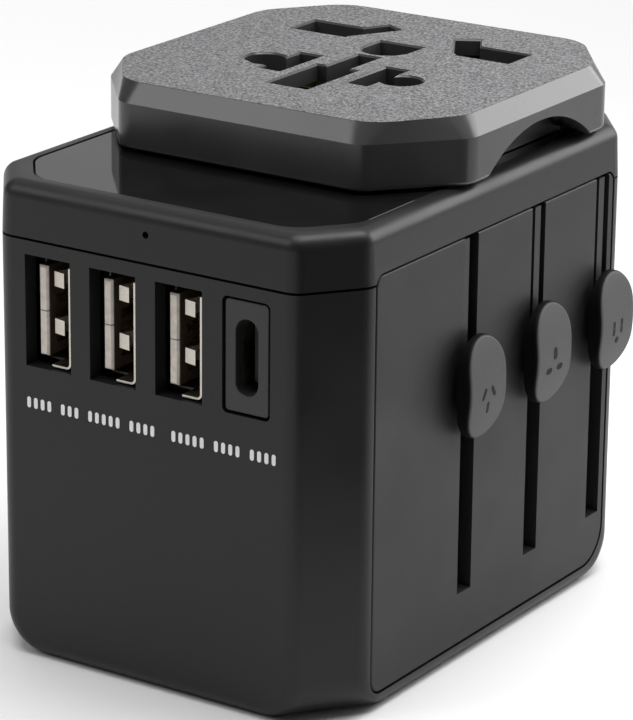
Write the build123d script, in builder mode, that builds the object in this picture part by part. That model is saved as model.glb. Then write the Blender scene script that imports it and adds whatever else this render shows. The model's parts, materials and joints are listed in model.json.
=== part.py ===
from build123d import *
import math
import os

# Universal travel adapter, in millimetres.
# +X points to the side with the three sliders, -Y to the charging ports, +Z up.
# The origin is the middle of the flat face that the adapter stands on.

os.makedirs("parts", exist_ok=True)


# ---------------------------------------------------------------- driving dimensions

# Outer body
WIDTH = 50.0
DEPTH = 68.0
SHELL_TOP = 50.2
CAP_BOTTOM = 50.5
CAP_TOP = 56.7
CORNER_CUT_X = 5.3
CORNER_CUT_Y = 6.8
CORNER_SOFTNESS = 2.5
SIDE_ROLL = 2.0
CORNER_ROLL = 5.0
WALL = 2.0
FLOOR = 2.2
SIDE_WALL_INNER = 21.4

# Glossy plate let into the top
PLATE_HALF_X = 22.2
PLATE_HALF_Y = 31.0
PLATE_BOTTOM = 55.75
PLATE_TOP = 56.6
PLATE_GAP = 0.12
PLATE_CUT = (4.9, 6.2)
PLATE_CORNER = 4.5

# Side panel and its three slots
PANEL_THICKNESS = 1.7
PANEL_HALF_Y = 26.0
PANEL_BOTTOM = 2.3
PANEL_TOP = 51.2
PANEL_GAP = 0.22
PANEL_REAR_CORNER = 4.5
PANEL_FRONT_CORNER = 2.0
PANEL_TOP_CORNER = 1.3
SLOT_WIDTH = 3.0
SLOT_BOTTOM = 8.5
SLIDER_NAMES = ("aus", "uk", "us")
SLIDER_Y = {"aus": -6.4, "uk": 8.5, "us": 23.4}

# Sliders: travel, carrier plate, arm and oval knob
TRAVEL = 18.0
CARRIER_BOTTOM = 20.5
CARRIER_TOP = 25.0
PIN_TIP = 0.4
PIN_ROOT = 23.6
ARM_OUTER = 20.0
ARM_INNER = 14.0
ARM_HALF_Y = 3.0
ARM_TOP = 39.6
KNOB_Z = 33.7
KNOB_WIDTH = 8.0
KNOB_HEIGHT = 12.2
KNOB_BACK = 25.9
KNOB_FACE = 27.75
KNOB_PRESS = 0.8
STEM_WIDTH = 2.2
STEM_HEIGHT = 6.0

# Charging ports
PORT_Z = 42.05
USB_A_X = (-13.45, -4.48, 4.48)
USB_A_OPENING = (6.3, 13.1)
USB_A_SHELL = (5.3, 12.6)
USB_A_FRONT = -33.3
USB_A_LENGTH = 14.3
USB_C_X = 13.45
USB_C_BLOCK = (5.7, 12.8)
USB_C_HOLE = (2.9, 8.7)
BOARD_FRONT = -18.4
BOARD_THICKNESS = 1.6

# Socket head
HEAD_Y = 8.5
HEAD_HALF_X = 24.95
HEAD_HALF_Y = 24.95
HEAD_CUT = (8.6, 9.9)
HEAD_BOTTOM = 57.0
HEAD_SHOULDER = 62.4
HEAD_TOP = 64.7
HEAD_BEVEL = 1.45
HEAD_TOP_CUT = (6.6, 8.9)
HEAD_TOP_CORNER = 6.0
HEAD_WALL = 1.8
FACE_THICKNESS = 2.0
RECESS_HALF = 11.8
RECESS_RISE = 4.3
RECESS_BACK = 20.3

# Plug block under the head, and the well that it stands in
BLOCK_HALF_X = 16.5
BLOCK_HALF_Y = 17.2
BLOCK_BOTTOM = 44.6
WELL_GAP = 0.3
EU_PITCH = 19.0
EU_RADIUS = 2.4
EU_LENGTH = 19.0

# Clearance around whatever slides through something
RUNNING = 0.25


# ---------------------------------------------------------------- shared outlines

facet_length = math.hypot(CORNER_CUT_X, CORNER_CUT_Y)
FACET_NX = CORNER_CUT_Y / facet_length
FACET_NY = CORNER_CUT_X / facet_length
FACET_DISTANCE = FACET_NX * WIDTH / 2 + FACET_NY * (DEPTH / 2 - CORNER_CUT_Y)


def cut_rectangle(half_x, half_y, cut_x, cut_y, softness):
    """Rectangle about the origin with its corners cut off and the cuts softened."""
    with BuildSketch() as outline:
        with BuildLine():
            Polyline(
                (half_x, cut_y - half_y),
                (half_x, half_y - cut_y),
                (half_x - cut_x, half_y),
                (cut_x - half_x, half_y),
                (-half_x, half_y - cut_y),
                (-half_x, cut_y - half_y),
                (cut_x - half_x, -half_y),
                (half_x - cut_x, -half_y),
                close=True,
            )
        make_face()
        if softness > 0:
            fillet(outline.vertices(), softness)
    return outline.sketch


def body_outline(side_inset, facet_inset, softness):
    """Outline of the body, drawn in by one amount at its sides and another at its corners."""
    half_x = WIDTH / 2 - side_inset
    half_y = DEPTH / 2 - side_inset
    distance = FACET_DISTANCE - facet_inset
    cut_x = half_x - (distance - FACET_NY * half_y) / FACET_NX
    cut_y = half_y - (distance - FACET_NX * half_x) / FACET_NY
    return cut_rectangle(half_x, half_y, cut_x, cut_y, softness)


def head_outline(inset, softness):
    """Outline of the socket head, drawn in by the same amount all round."""
    cut_x, cut_y = HEAD_CUT
    shrink = 1 - inset * (cut_x + cut_y - math.hypot(cut_x, cut_y)) / (cut_x * cut_y)
    half_x = HEAD_HALF_X - inset
    half_y = HEAD_HALF_Y - inset
    with BuildSketch() as outline:
        with Locations((0, HEAD_Y)):
            add(cut_rectangle(half_x, half_y, cut_x * shrink, cut_y * shrink, softness))
    return outline.sketch


def head_top_outline():
    """Outline of the head's flat top, inside the bevel."""
    half_x = HEAD_HALF_X - HEAD_BEVEL
    half_y = HEAD_HALF_Y - HEAD_BEVEL
    with BuildSketch() as outline:
        with Locations((0, HEAD_Y)):
            add(cut_rectangle(half_x, half_y, *HEAD_TOP_CUT, HEAD_TOP_CORNER))
    return outline.sketch


def rolled_inset(height, radius):
    """How far a rounded bottom edge lies inside the wall at this height."""
    if height >= radius:
        return 0.0
    return radius - math.sqrt(radius**2 - (radius - height) ** 2)


def plate_outline(grow):
    """Glossy plate, larger all round by the gap that is asked for."""
    return cut_rectangle(
        PLATE_HALF_X + grow, PLATE_HALF_Y + grow, *PLATE_CUT, PLATE_CORNER + grow
    )


def panel_outline(grow):
    """Side panel, drawn on the YZ plane, larger all round by the gap that is asked for."""
    low = PANEL_BOTTOM - grow
    high = PANEL_TOP + grow
    half = PANEL_HALF_Y + grow
    with BuildSketch() as outline:
        with Locations((0, (low + high) / 2)):
            Rectangle(2 * half, high - low)
        fillet(outline.vertices().sort_by_distance((half, low))[0], PANEL_REAR_CORNER + grow)
        fillet(outline.vertices().sort_by_distance((-half, low))[0], PANEL_FRONT_CORNER + grow)
        fillet(outline.vertices().group_by(Axis.Y)[-1], PANEL_TOP_CORNER + grow)
    return outline.sketch


# ---------------------------------------------------------------- pins of the three sliders

# Plan size, centre and turn of every pin, as it leaves the bottom of the body.
UK_LINE = (6.35, 4.0)
UK_EARTH = (4.0, 8.0)
AUS_BLADE = (1.63, 6.35)
US_BLADE = (1.5, 6.35)
UK_LINE_X = 11.1
UK_EARTH_DROP = 22.2
AUS_BLADE_X = 6.85
AUS_BLADE_Y = -6.0
AUS_SLANT = 30.0
US_BLADE_X = 6.35

PINS = {
    "aus_blades": [
        (AUS_BLADE, (-AUS_BLADE_X, AUS_BLADE_Y), -AUS_SLANT),
        (AUS_BLADE, (AUS_BLADE_X, AUS_BLADE_Y), AUS_SLANT),
    ],
    "uk_line_pins": [
        (UK_LINE, (-UK_LINE_X, SLIDER_Y["uk"]), 0.0),
        (UK_LINE, (UK_LINE_X, SLIDER_Y["uk"]), 0.0),
    ],
    "uk_earth_pin": [
        (UK_EARTH, (0.0, SLIDER_Y["uk"] - UK_EARTH_DROP), 0.0),
    ],
    "us_blades": [
        (US_BLADE, (-US_BLADE_X, SLIDER_Y["us"]), 0.0),
        (US_BLADE, (US_BLADE_X, SLIDER_Y["us"]), 0.0),
    ],
}
PINS_OF = {
    "aus": ["aus_blades"],
    "uk": ["uk_line_pins", "uk_earth_pin"],
    "us": ["us_blades"],
}


def pin_sections(names, grow):
    """Plan outlines of the named pins, larger all round by the gap that is asked for."""
    with BuildSketch() as outline:
        for name in names:
            for size, centre, turn in PINS[name]:
                with Locations(Location((centre[0], centre[1], 0), (0, 0, turn))):
                    Rectangle(size[0] + 2 * grow, size[1] + 2 * grow)
    return outline.sketch


# ---------------------------------------------------------------- lower shell

with BuildPart() as lower_shell:
    # The bottom edge rolls in with a small radius at the sides and a large one at the corners.
    roll_steps = 10
    for step in range(roll_steps + 1):
        height = CORNER_ROLL * (1 - math.sin(math.radians(90 * step / roll_steps)))
        with BuildSketch(Plane.XY.offset(height)):
            add(
                body_outline(
                    rolled_inset(height, SIDE_ROLL),
                    rolled_inset(height, CORNER_ROLL),
                    CORNER_SOFTNESS,
                )
            )
    loft()
    with BuildSketch(Plane.XY.offset(CORNER_ROLL)):
        add(body_outline(0, 0, CORNER_SOFTNESS))
    extrude(amount=SHELL_TOP - CORNER_ROLL)

    # Hollow inside, with a thicker wall behind the sliders.
    with BuildSketch(Plane.XY.offset(FLOOR)):
        add(body_outline(WALL, WALL + 0.9, 1.5))
    extrude(amount=SHELL_TOP, mode=Mode.SUBTRACT)
    with Locations((SIDE_WALL_INNER, 0, FLOOR)):
        Box(
            WIDTH / 2 - WALL + 0.1 - SIDE_WALL_INNER,
            2 * PANEL_HALF_Y + 2,
            SHELL_TOP - FLOOR,
            align=(Align.MIN, Align.CENTER, Align.MIN),
        )

    # Shallow seat for the side panel, and the slots that the knob stems run in.
    with BuildSketch(Plane.YZ.offset(WIDTH / 2 + 1)):
        add(panel_outline(PANEL_GAP))
    extrude(amount=-(1 + PANEL_THICKNESS + 0.1), mode=Mode.SUBTRACT)
    for name in SLIDER_NAMES:
        slot_end = SLOT_BOTTOM if name == "uk" else SLOT_BOTTOM + 1.8
        with BuildSketch(Plane.YZ.offset(WIDTH / 2)):
            with Locations((SLIDER_Y[name], slot_end)):
                Rectangle(4.0, SHELL_TOP, align=(Align.CENTER, Align.MIN))
        extrude(amount=-WIDTH / 4, mode=Mode.SUBTRACT)

    # Ports in the front wall.
    with BuildSketch(Plane.XZ.offset(DEPTH / 2 + 1)):
        with Locations(*[(x, PORT_Z) for x in USB_A_X]):
            Rectangle(*USB_A_OPENING)
        with Locations((USB_C_X, PORT_Z)):
            RectangleRounded(USB_C_BLOCK[0] + 0.6, USB_C_BLOCK[1] + 0.6, 0.7)
    extrude(amount=-(WALL + 2), mode=Mode.SUBTRACT)

    # Apertures in the floor for every pin.
    with BuildSketch():
        add(pin_sections(list(PINS), RUNNING + 0.1))
    extrude(amount=FLOOR, mode=Mode.SUBTRACT)

lower_shell.part.label = "lower_shell"
export_step(lower_shell.part, "parts/lower_shell.step")


# ---------------------------------------------------------------- top cap

# The case screws stand in bosses under the cap, at the corners of the plate.
SCREW_PLACES = [(-18.6, -26.0), (18.6, -26.0), (-14.5, 29.4), (14.5, 29.4)]
BOSS_BOTTOM = 51.6
SEAT_Z = PLATE_BOTTOM - 0.05
ROOF_BOTTOM = SEAT_Z - 0.9
LED_Z = 53.6
well_half_x = BLOCK_HALF_X + WELL_GAP
well_half_y = BLOCK_HALF_Y + WELL_GAP

with BuildPart() as top_cap:
    with BuildSketch(Plane.XY.offset(CAP_BOTTOM)):
        add(body_outline(0, 0, CORNER_SOFTNESS))
    extrude(amount=CAP_TOP - CAP_BOTTOM, taper=2.5)
    fillet(top_cap.faces().sort_by(Axis.Z)[-1].edges(), 1.9)

    # Hollow inside, with a tongue that reaches down behind the seam.
    with BuildSketch(Plane.XY.offset(CAP_BOTTOM)):
        add(body_outline(WALL, WALL, 1.5))
    extrude(amount=ROOF_BOTTOM - CAP_BOTTOM, mode=Mode.SUBTRACT)
    with BuildSketch(Plane.XY.offset(CAP_BOTTOM - 1.2)):
        add(body_outline(WALL + 0.15, WALL + 1.2, 1.5))
        add(body_outline(WALL + 1.1, WALL + 2.1, 1.5), mode=Mode.SUBTRACT)
        with Locations((SIDE_WALL_INNER - 2, 0)):
            Rectangle(12, DEPTH, align=(Align.MIN, Align.CENTER), mode=Mode.SUBTRACT)
        with Locations(*SCREW_PLACES):
            Circle(2.5, mode=Mode.SUBTRACT)
    extrude(amount=2.4)
    with BuildSketch(Plane.XY.offset(CAP_BOTTOM)):
        add(body_outline(WALL - 0.2, WALL - 0.2, 1.5))
        add(body_outline(WALL + 0.3, WALL + 1.3, 1.5), mode=Mode.SUBTRACT)
        with Locations((SIDE_WALL_INNER - 2, 0)):
            Rectangle(12, DEPTH, align=(Align.MIN, Align.CENTER), mode=Mode.SUBTRACT)
    extrude(amount=1.2)

    # Roof: seat for the glossy plate, well opening and screw bosses.
    with BuildSketch(Plane.XY.offset(BOSS_BOTTOM)):
        with Locations(*SCREW_PLACES):
            Circle(2.4)
    extrude(amount=ROOF_BOTTOM - BOSS_BOTTOM + 0.2)
    with BuildSketch(Plane.XY.offset(SEAT_Z)):
        add(plate_outline(PLATE_GAP))
    extrude(amount=CAP_TOP, mode=Mode.SUBTRACT)
    with BuildSketch(Plane.XY.offset(ROOF_BOTTOM - 0.5)):
        with Locations((0, HEAD_Y)):
            Rectangle(2 * well_half_x + 0.8, 2 * well_half_y + 0.8)
    extrude(amount=CAP_TOP, mode=Mode.SUBTRACT)
    with BuildSketch(Plane.XY.offset(SEAT_Z)):
        with Locations(*SCREW_PLACES):
            Circle(2.0)
    extrude(amount=-1.6, mode=Mode.SUBTRACT)
    with BuildSketch(Plane.XY.offset(SEAT_Z)):
        with Locations(*SCREW_PLACES):
            Circle(1.1)
    extrude(amount=-(SEAT_Z - BOSS_BOTTOM), mode=Mode.SUBTRACT)

    # Room for the top edge of the side panel, and the hole for the charging light.
    with BuildSketch(Plane.YZ.offset(WIDTH / 2 + 1)):
        add(panel_outline(PANEL_GAP))
    extrude(amount=-(1 + PANEL_THICKNESS + 0.1), mode=Mode.SUBTRACT)
    with BuildSketch(Plane.XZ.offset(DEPTH / 2 + 1)):
        with Locations((0, LED_Z)):
            Circle(0.4)
    extrude(amount=-4, mode=Mode.SUBTRACT)

top_cap.part.label = "top_cap"
export_step(top_cap.part, "parts/top_cap.step")


# ---------------------------------------------------------------- glossy plate

with BuildPart() as gloss_top_plate:
    with BuildSketch(Plane.XY.offset(PLATE_BOTTOM)):
        add(plate_outline(0))
        with Locations((0, HEAD_Y)):
            RectangleRounded(
                2 * well_half_x + 0.4, 2 * well_half_y + 0.4, 1.2, mode=Mode.SUBTRACT
            )
    extrude(amount=PLATE_TOP - PLATE_BOTTOM)
    chamfer(gloss_top_plate.faces().sort_by(Axis.Z)[-1].edges(), 0.12)

gloss_top_plate.part.label = "gloss_top_plate"
export_step(gloss_top_plate.part, "parts/gloss_top_plate.step")


# ---------------------------------------------------------------- side panel

with BuildPart() as slider_panel:
    with BuildSketch(Plane.YZ.offset(WIDTH / 2)):
        add(panel_outline(0))
    extrude(amount=-PANEL_THICKNESS)
    fillet(slider_panel.faces().sort_by(Axis.X)[-1].edges(), 0.25)
    with BuildSketch(Plane.YZ.offset(WIDTH / 2 + 1)):
        with Locations(*[(SLIDER_Y[name], SLOT_BOTTOM) for name in SLIDER_NAMES]):
            Rectangle(SLOT_WIDTH, DEPTH, align=(Align.CENTER, Align.MIN))
    extrude(amount=-(PANEL_THICKNESS + 2), mode=Mode.SUBTRACT)

slider_panel.part.label = "slider_panel"
export_step(slider_panel.part, "parts/slider_panel.step")


# ---------------------------------------------------------------- inner frame

DECK_BOTTOM = 27.0
DECK_TOP = 28.4
COLUMN_PLACES = [(-16.5, -7.5), (11.5, -7.5), (-11.5, 24.0), (11.5, 24.0)]
GUIDE_PLACES = {"aus": (0.0, -6.0), "uk": (-17.5, -3.0), "us": (0.0, 23.4)}
GUIDE_SIZE = 3.0
WELL_FLOOR = 43.4
WELL_TOP = 54.4
WELL_WALL = 1.0
EU_PLACES = [(-EU_PITCH / 2, HEAD_Y), (EU_PITCH / 2, HEAD_Y)]

with BuildPart() as inner_frame:
    # Deck over the carriers, open at the right where their arms rise.
    with BuildSketch(Plane.XY.offset(DECK_BOTTOM)):
        add(body_outline(WALL + 0.3, WALL + 1.4, 1.5))
        with Locations((ARM_INNER - 0.4, 6.5)):
            Rectangle(20, 41, align=(Align.MIN, Align.CENTER), mode=Mode.SUBTRACT)
        with Locations((SIDE_WALL_INNER - 0.3, 0)):
            Rectangle(9, DEPTH, align=(Align.MIN, Align.CENTER), mode=Mode.SUBTRACT)
        with Locations(*EU_PLACES):
            Circle(EU_RADIUS + 1.0, mode=Mode.SUBTRACT)
    extrude(amount=DECK_TOP - DECK_BOTTOM)

    # Square posts that the carriers slide on, and round posts for the case screws.
    with BuildSketch(Plane.XY.offset(FLOOR)):
        with Locations(*GUIDE_PLACES.values()):
            Rectangle(GUIDE_SIZE, GUIDE_SIZE)
    extrude(amount=DECK_BOTTOM - FLOOR)
    with BuildSketch(Plane.XY.offset(FLOOR)):
        with Locations(*SCREW_PLACES):
            Circle(2.1)
    extrude(amount=BOSS_BOTTOM - 0.1 - FLOOR)
    with BuildSketch(Plane.XY.offset(BOSS_BOTTOM)):
        with Locations(*SCREW_PLACES):
            Circle(0.9)
    extrude(amount=-8, mode=Mode.SUBTRACT)

    # Columns up to the well that the plug block stands in.
    with BuildSketch(Plane.XY.offset(DECK_TOP)):
        with Locations(*COLUMN_PLACES):
            Circle(2.0)
    extrude(amount=WELL_FLOOR - DECK_TOP)
    with BuildSketch(Plane.XY.offset(WELL_FLOOR)):
        with Locations((0, HEAD_Y)):
            Rectangle(2 * (well_half_x + WELL_WALL), 2 * (well_half_y + WELL_WALL))
    extrude(amount=WELL_TOP - WELL_FLOOR)
    with BuildSketch(Plane.XY.offset(WELL_FLOOR + WELL_WALL)):
        with Locations((0, HEAD_Y)):
            Rectangle(2 * well_half_x, 2 * well_half_y)
    extrude(amount=WELL_TOP, mode=Mode.SUBTRACT)
    with BuildSketch(Plane.XY.offset(WELL_FLOOR)):
        with Locations(*EU_PLACES):
            Circle(EU_RADIUS + 0.4)
    extrude(amount=WELL_WALL, mode=Mode.SUBTRACT)

inner_frame.part.label = "inner_frame"
export_step(inner_frame.part, "parts/inner_frame.step")


# ---------------------------------------------------------------- sliding carriers

# Plates seen from above, as rectangles of (x from, x to, y from, y to). No two carriers
# overlap in plan, so each can go down while the others stay up.
CARRIER_PLATES = {
    "aus": [(-11.0, 17.0, -9.3, -2.7)],
    "uk": [
        (-4.0, 4.0, -18.2, -9.9),
        (-20.5, -3.0, -18.2, -12.5),
        (-20.5, -14.5, -18.2, 12.0),
        (-20.5, 17.0, 5.0, 12.0),
    ],
    "us": [(-10.0, 17.0, 19.6, 27.2)],
}
# The ribs that close the slots above the knobs, as (outer face, offset along Y, width).
RIBS = {"aus": (24.9, -0.85, 1.05), "uk": (24.85, 0.0, 1.25), "us": (24.85, 0.0, 1.25)}
RIB_THICKNESS = 0.9
RIB_LEG = 1.6


def carrier(name):
    """Plate that holds one country's pins, with the arm that its knob moves it by."""
    y = SLIDER_Y[name]
    with BuildPart() as piece:
        with BuildSketch(Plane.XY.offset(CARRIER_BOTTOM)) as plate:
            for x_from, x_to, y_from, y_to in CARRIER_PLATES[name]:
                with Locations(((x_from + x_to) / 2, (y_from + y_to) / 2)):
                    Rectangle(x_to - x_from, y_to - y_from)
            fillet(plate.vertices(), 0.5)
        extrude(amount=CARRIER_TOP - CARRIER_BOTTOM)

        # Arm with a pocket for the knob's stem and spring.
        with Locations((0, y, CARRIER_BOTTOM)):
            with Locations(((ARM_INNER + ARM_OUTER) / 2, 0, 0)):
                Box(
                    ARM_OUTER - ARM_INNER,
                    2 * ARM_HALF_Y,
                    ARM_TOP - CARRIER_BOTTOM,
                    align=(Align.CENTER, Align.CENTER, Align.MIN),
                )
        with BuildSketch(Plane.YZ.offset(ARM_OUTER)):
            with Locations((y, KNOB_Z)):
                Rectangle(STEM_WIDTH + 0.4, STEM_HEIGHT + 0.4)
        extrude(amount=-(ARM_OUTER - ARM_INNER - 0.8), mode=Mode.SUBTRACT)

        # Rib that fills the slot above the knob.
        rib_face, rib_offset, rib_width = RIBS[name]
        with Locations((ARM_OUTER - 0.5, y + rib_offset, ARM_TOP - RIB_LEG)):
            Box(
                rib_face - ARM_OUTER + 0.5,
                rib_width,
                RIB_LEG,
                align=(Align.MIN, Align.CENTER, Align.MIN),
            )
        with Locations((rib_face, y + rib_offset, ARM_TOP - RIB_LEG)):
            Box(
                RIB_THICKNESS,
                rib_width,
                PANEL_TOP - 0.2 - ARM_TOP + RIB_LEG,
                align=(Align.MAX, Align.CENTER, Align.MIN),
            )

        # Guide hole, and the seats of the pins.
        with BuildSketch(Plane.XY.offset(CARRIER_BOTTOM)):
            with Locations(GUIDE_PLACES[name]):
                Rectangle(GUIDE_SIZE + 2 * RUNNING, GUIDE_SIZE + 2 * RUNNING)
        extrude(amount=CARRIER_TOP - CARRIER_BOTTOM, mode=Mode.SUBTRACT)
        with BuildSketch(Plane.XY.offset(CARRIER_BOTTOM)):
            add(pin_sections(PINS_OF[name], 0))
        extrude(amount=PIN_ROOT - CARRIER_BOTTOM, mode=Mode.SUBTRACT)
    return piece.part


def pin_set(name):
    """The pins of one kind, with bevelled tips."""
    with BuildPart() as piece:
        with BuildSketch(Plane.XY.offset(PIN_TIP)):
            add(pin_sections([name], 0))
        extrude(amount=PIN_ROOT - PIN_TIP)
        tips = piece.faces().filter_by(Axis.Z).group_by(Axis.Z)[0]
        chamfer(tips.edges(), 0.45)
    return piece.part


def knob(name):
    """Oval knob with a crowned face, on a stem with two stop ears."""
    y = SLIDER_Y[name]
    crown_radius = 17.0
    with BuildPart() as piece:
        with BuildSketch(Plane.YZ.offset(KNOB_BACK)):
            with Locations(Location((y, KNOB_Z, 0), (0, 0, 90))):
                SlotOverall(KNOB_HEIGHT, KNOB_WIDTH)
        extrude(amount=KNOB_FACE - KNOB_BACK)
        with BuildSketch(Plane.XZ.offset(-y)):
            with Locations((KNOB_FACE - crown_radius, KNOB_Z)):
                Circle(crown_radius)
        extrude(amount=KNOB_WIDTH, both=True, mode=Mode.INTERSECT)
        fillet(piece.faces().sort_by(Axis.X)[-1].edges(), 0.45)

        # Stem through the slot, and ears behind the wall.
        with BuildSketch(Plane.YZ.offset(KNOB_BACK)):
            with Locations((y, KNOB_Z)):
                Rectangle(STEM_WIDTH, STEM_HEIGHT)
        extrude(amount=-(KNOB_BACK - 18.2))
        with Locations((20.85, y, KNOB_Z)):
            Box(0.4, 5.4, 4.0, align=(Align.MIN, Align.CENTER, Align.CENTER))
    return piece.part


def knob_spring(name):
    """Small compression spring behind the stem, lying along X."""
    with BuildPart() as piece:
        with BuildLine():
            Helix(
                pitch=0.7,
                height=2.1,
                radius=0.75,
                center=(15.9, SLIDER_Y[name], KNOB_Z),
                direction=(1, 0, 0),
            )
        wire = piece.pending_edges[0]
        with BuildSketch(Plane(origin=wire @ 0, z_dir=wire % 0)):
            Circle(0.15)
        sweep(is_frenet=True)
    return piece.part


for name in SLIDER_NAMES:
    holder = carrier(name)
    holder.label = name + "_carrier"
    export_step(holder, "parts/" + name + "_carrier.step")
    for pins in PINS_OF[name]:
        pin_part = pin_set(pins)
        pin_part.label = pins
        export_step(pin_part, "parts/" + pins + ".step")
    button = knob(name)
    button.label = name + "_knob"
    export_step(button, "parts/" + name + "_knob.step")
    spring = knob_spring(name)
    spring.label = name + "_knob_spring"
    export_step(spring, "parts/" + name + "_knob_spring.step")


# ---------------------------------------------------------------- USB-A sockets

USB_NAMES = ("left", "middle", "right")
USB_SHEET = 0.25
USB_MOUTH_STEP = 2.4
SPRING_MIDDLE = PORT_Z + 1.07
SPRING_SPREAD = 2.77
SPRING_HEIGHT = 1.75
SPRING_REACH = 2.5
SPRING_LIP = 0.95
TONGUE_FRONT = -33.05
TONGUE_THICKNESS = 1.2
TONGUE_HEIGHT = 10.5
TONGUE_OFFSET = 0.75
USB_BACK = USB_A_FRONT + USB_A_LENGTH
CONTACT_DEPTH = 0.35
CONTACT_HEIGHTS = [PORT_Z + offset for offset in (-3.5, -1.0, 1.0, 3.5)]


def usb_a_shell(x):
    """Folded sheet shell, open to the front, with two springs on its right wall."""
    width, height = USB_A_SHELL
    with BuildPart() as piece:
        with BuildSketch(Plane.XZ.offset(-USB_A_FRONT)):
            with Locations((x, PORT_Z)):
                RectangleRounded(width, height, 0.7)
                RectangleRounded(
                    width - 2 * USB_SHEET, height - 2 * USB_SHEET, 0.45, mode=Mode.SUBTRACT
                )
        extrude(amount=-USB_A_LENGTH)
        with Locations((x, USB_BACK - USB_SHEET / 2, PORT_Z)):
            Box(width - 0.3, USB_SHEET, height - 1.2)

        # The left half and the top of the mouth are cut back, past the front of the tongue.
        with Locations((x, USB_A_FRONT, PORT_Z)):
            Box(
                width,
                USB_MOUTH_STEP,
                height + 1,
                align=(Align.MAX, Align.MIN, Align.CENTER),
                mode=Mode.SUBTRACT,
            )
        with Locations((x, USB_A_FRONT, PORT_Z + height / 2 + 1)):
            Box(
                width + 1,
                USB_MOUTH_STEP,
                1.7,
                align=(Align.CENTER, Align.MIN, Align.MAX),
                mode=Mode.SUBTRACT,
            )

        # Each spring is a leaf that leans in from behind, and turns back towards the wall at its lip.
        wall = x + width / 2 - USB_SHEET
        for z in (SPRING_MIDDLE - SPRING_SPREAD, SPRING_MIDDLE + SPRING_SPREAD):
            with BuildSketch(Plane.XY.offset(z - SPRING_HEIGHT / 2)):
                with BuildLine():
                    Polyline(
                        (wall + 0.1, USB_A_FRONT + 7.0),
                        (wall + 0.1, USB_A_FRONT + 7.5),
                        (wall - 0.25, USB_A_FRONT + 7.5),
                        (wall - SPRING_REACH, USB_A_FRONT + 1.0),
                        (wall - SPRING_REACH, USB_A_FRONT + 0.75),
                        (wall - SPRING_LIP, USB_A_FRONT + 0.45),
                        (wall - SPRING_LIP, USB_A_FRONT + 0.7),
                        (wall - SPRING_REACH + 0.3, USB_A_FRONT + 1.0),
                        (wall - 0.05, USB_A_FRONT + 7.0),
                        close=True,
                    )
                make_face()
            extrude(amount=SPRING_HEIGHT)
    return piece.part


def contact_places(left):
    """Where the four contacts begin, for a tongue with its left face here."""
    return [(left + TONGUE_THICKNESS, TONGUE_FRONT + 1.65, z) for z in CONTACT_HEIGHTS]


def usb_a_tongue(x):
    """Plastic tongue on the left of the socket, on its rear block."""
    left = x - USB_A_SHELL[0] / 2 + TONGUE_OFFSET
    with BuildPart() as piece:
        with Locations((left, TONGUE_FRONT, PORT_Z)):
            Box(
                TONGUE_THICKNESS,
                USB_BACK - USB_SHEET - TONGUE_FRONT,
                TONGUE_HEIGHT,
                align=(Align.MIN, Align.MIN, Align.CENTER),
            )
        chamfer(piece.edges().group_by(Axis.Y)[0], 0.2)
        with Locations((x, USB_BACK - USB_SHEET, PORT_Z)):
            Box(
                USB_A_SHELL[0] - 2 * USB_SHEET - 0.1,
                3.2,
                USB_A_SHELL[1] - 2 * USB_SHEET - 0.8,
                align=(Align.CENTER, Align.MAX, Align.CENTER),
            )
        with Locations(*contact_places(left)):
            Box(
                CONTACT_DEPTH,
                9.0,
                1.1,
                align=(Align.MAX, Align.MIN, Align.CENTER),
                mode=Mode.SUBTRACT,
            )
    return piece.part


def usb_a_contacts(x):
    """Four flat contacts that lie in the grooves of the tongue."""
    left = x - USB_A_SHELL[0] / 2 + TONGUE_OFFSET
    with BuildPart() as piece:
        with Locations(*contact_places(left)):
            Box(CONTACT_DEPTH, 7.5, 1.0, align=(Align.MAX, Align.MIN, Align.CENTER))
    return piece.part


for side, x in zip(USB_NAMES, USB_A_X):
    shell = usb_a_shell(x)
    shell.label = "usb_a_shell_" + side
    export_step(shell, "parts/usb_a_shell_" + side + ".step")
    tongue = usb_a_tongue(x)
    tongue.label = "usb_a_tongue_" + side
    export_step(tongue, "parts/usb_a_tongue_" + side + ".step")
    contacts = usb_a_contacts(x)
    contacts.label = "usb_a_contacts_" + side
    export_step(contacts, "parts/usb_a_contacts_" + side + ".step")


# ---------------------------------------------------------------- USB-C socket

USB_C_SURROUND_FRONT = -33.85
USB_C_SHELL_FRONT = -32.6
USB_C_BACK = BOARD_FRONT - 0.1

with BuildPart() as usb_c_surround:
    with BuildSketch(Plane.XZ.offset(-USB_C_SURROUND_FRONT)):
        with Locations((USB_C_X, PORT_Z)):
            RectangleRounded(*USB_C_BLOCK, 0.45)
            SlotOverall(USB_C_HOLE[1], USB_C_HOLE[0], rotation=90, mode=Mode.SUBTRACT)
    extrude(amount=-1.2)
    fillet(usb_c_surround.faces().sort_by(Axis.Y)[0].edges(), 0.15)
    with BuildSketch(Plane.XZ.offset(-USB_C_SURROUND_FRONT - 1.2)):
        with Locations((USB_C_X, PORT_Z)):
            RectangleRounded(*USB_C_BLOCK, 0.45)
            SlotOverall(USB_C_HOLE[1] + 0.6, USB_C_HOLE[0] + 0.6, rotation=90, mode=Mode.SUBTRACT)
    extrude(amount=-3)

usb_c_surround.part.label = "usb_c_surround"
export_step(usb_c_surround.part, "parts/usb_c_surround.step")

with BuildPart() as usb_c_shell:
    with BuildSketch(Plane.XZ.offset(-USB_C_SHELL_FRONT)):
        with Locations((USB_C_X, PORT_Z)):
            SlotOverall(USB_C_HOLE[1] + 0.5, USB_C_HOLE[0] + 0.5, rotation=90)
            SlotOverall(USB_C_HOLE[1], USB_C_HOLE[0], rotation=90, mode=Mode.SUBTRACT)
    extrude(amount=-(USB_C_BACK - USB_C_SHELL_FRONT))

usb_c_shell.part.label = "usb_c_shell"
export_step(usb_c_shell.part, "parts/usb_c_shell.step")

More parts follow.
